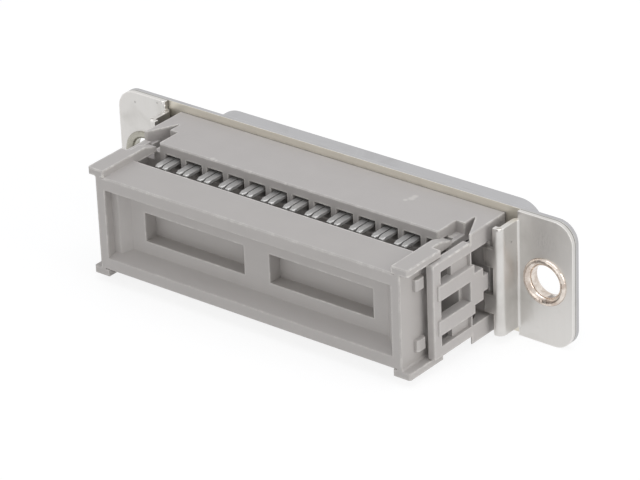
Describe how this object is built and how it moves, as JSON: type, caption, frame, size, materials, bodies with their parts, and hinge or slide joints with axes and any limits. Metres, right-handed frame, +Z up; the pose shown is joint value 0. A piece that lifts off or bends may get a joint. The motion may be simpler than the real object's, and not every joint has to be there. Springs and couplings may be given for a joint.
{
  "type": "d-sub connector",
  "caption": "D-subminiature socket connector for flat ribbon cable, with metal shell, mounting ears and a press-on rear cover held open on its latch arms.",
  "frame": {"origin": "midway between the two mounting holes, on the flange's front (mounting) face", "axes": "+X along the connector, +Y out of the mating side, +Z up, towards the D's wide side"},
  "size_m": [0.053, 0.0199, 0.0126],
  "materials": {
    "shell_steel": "satin plated",
    "bracket_steel": "bright plated",
    "eyelet_copper": "tinned",
    "contact_metal": "tinned satin",
    "housing_plastic": "moulded",
    "insulator_plastic": "moulded"
  },
  "bodies": {
    "connector_body": {"front_shell": "shell_steel", "front_insulator": "insulator_plastic", "housing": "housing_plastic", "rear_bracket_left": "bracket_steel", "rear_bracket_right": "bracket_steel", "eyelet_left": "eyelet_copper", "eyelet_right": "eyelet_copper", "contact_01": "contact_metal", "contact_02": "contact_metal", "contact_03": "contact_metal", "contact_04": "contact_metal", "contact_05": "contact_metal", "contact_06": "contact_metal", "contact_07": "contact_metal", "contact_08": "contact_metal", "contact_09": "contact_metal", "contact_10": "contact_metal", "contact_11": "contact_metal", "contact_12": "contact_metal", "contact_13": "contact_metal", "contact_14": "contact_metal", "contact_15": "contact_metal", "contact_16": "contact_metal", "contact_17": "contact_metal", "contact_18": "contact_metal", "contact_19": "contact_metal", "contact_20": "contact_metal", "contact_21": "contact_metal", "contact_22": "contact_metal", "contact_23": "contact_metal", "contact_24": "contact_metal", "contact_25": "contact_metal"},
    "cable_cover": {"cover": "housing_plastic"}
  },
  "joints": [
    {"name": "cover_press", "type": "slide", "parent": "connector_body", "child": "cable_cover", "axis": [0, 1, 0], "range_m": [0, 0.0024]}
  ]
}
